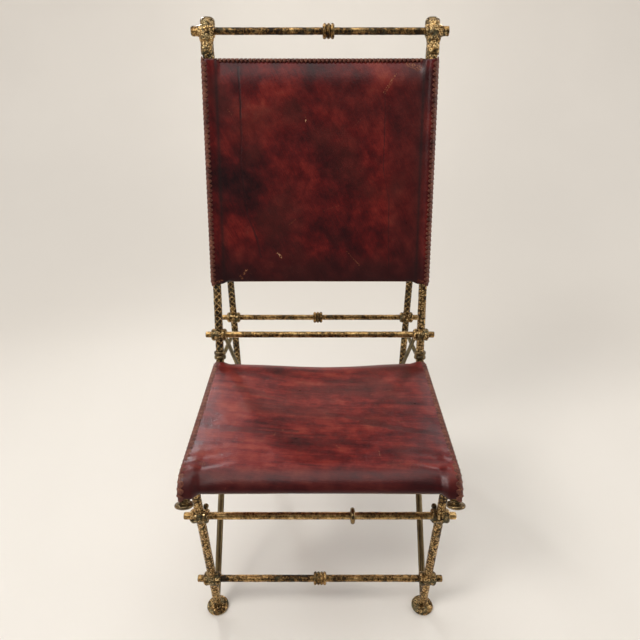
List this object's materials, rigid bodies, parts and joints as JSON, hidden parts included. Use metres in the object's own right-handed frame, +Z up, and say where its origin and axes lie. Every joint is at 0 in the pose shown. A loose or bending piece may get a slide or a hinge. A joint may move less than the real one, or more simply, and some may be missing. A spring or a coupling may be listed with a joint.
{
  "type": "side chair",
  "caption": "High-backed side chair of hammered gilt iron rods joined by spool bosses and braces, with laced leather slings for seat and back and a loose ring on a front bar.",
  "frame": {"origin": "on the floor under the centre of the chair's box", "axes": "+Z up, the sitter faces -Y, +X to the right in the picture"},
  "size_m": [0.546, 0.6832, 1.1617],
  "materials": {
    "gilt_hammered_iron": "hammered iron, gilt bronze rubbed over dark recesses",
    "dark_patinated_iron": "polished near-black patina",
    "oxblood_leather": "glossy waxed oxblood saddle leather, worn and scratched",
    "dark_lace": "dark leather lacing"
  },
  "bodies": {
    "frame": {"back_leather": "oxblood_leather", "left_back_brace": "gilt_hammered_iron", "left_back_lace": "dark_lace", "left_back_post": "gilt_hammered_iron", "left_corner_brace": "gilt_hammered_iron", "left_foot_brace": "gilt_hammered_iron", "left_front_foot": "gilt_hammered_iron", "left_front_leg": "gilt_hammered_iron", "left_lower_front_boss": "gilt_hammered_iron", "left_lumbar_boss": "gilt_hammered_iron", "left_rail_knob": "dark_patinated_iron", "left_rear_boss": "gilt_hammered_iron", "left_rear_cap": "dark_patinated_iron", "left_rear_foot": "gilt_hammered_iron", "left_rear_leg": "gilt_hammered_iron", "left_seat_collar": "dark_patinated_iron", "left_seat_lace": "dark_lace", "left_seat_rail": "gilt_hammered_iron", "left_top_boss": "gilt_hammered_iron", "left_upper_front_boss": "gilt_hammered_iron", "lower_front_bar": "gilt_hammered_iron", "lower_front_bead_collar": "gilt_hammered_iron", "lumbar_bar": "gilt_hammered_iron", "rear_bar": "gilt_hammered_iron", "rear_bead_collar": "gilt_hammered_iron", "right_back_brace": "gilt_hammered_iron", "right_back_lace": "dark_lace", "right_back_post": "gilt_hammered_iron", "right_corner_brace": "gilt_hammered_iron", "right_foot_brace": "gilt_hammered_iron", "right_front_foot": "gilt_hammered_iron", "right_front_leg": "gilt_hammered_iron", "right_lower_front_boss": "gilt_hammered_iron", "right_lumbar_boss": "gilt_hammered_iron", "right_rail_knob": "dark_patinated_iron", "right_rear_boss": "gilt_hammered_iron", "right_rear_cap": "dark_patinated_iron", "right_rear_foot": "gilt_hammered_iron", "right_rear_leg": "gilt_hammered_iron", "right_seat_collar": "dark_patinated_iron", "right_seat_lace": "dark_lace", "right_seat_rail": "gilt_hammered_iron", "right_top_boss": "gilt_hammered_iron", "right_upper_front_boss": "gilt_hammered_iron", "seat_leather": "oxblood_leather", "top_bar": "gilt_hammered_iron", "top_bead_collar": "gilt_hammered_iron", "upper_front_bar": "gilt_hammered_iron"},
    "ring": {"loose_ring": "dark_patinated_iron"}
  },
  "joints": [
    {"name": "ring_slide", "type": "slide", "parent": "frame", "child": "ring", "axis": [1, 0, 0], "range_m": [-0.28, 0.15]}
  ]
}
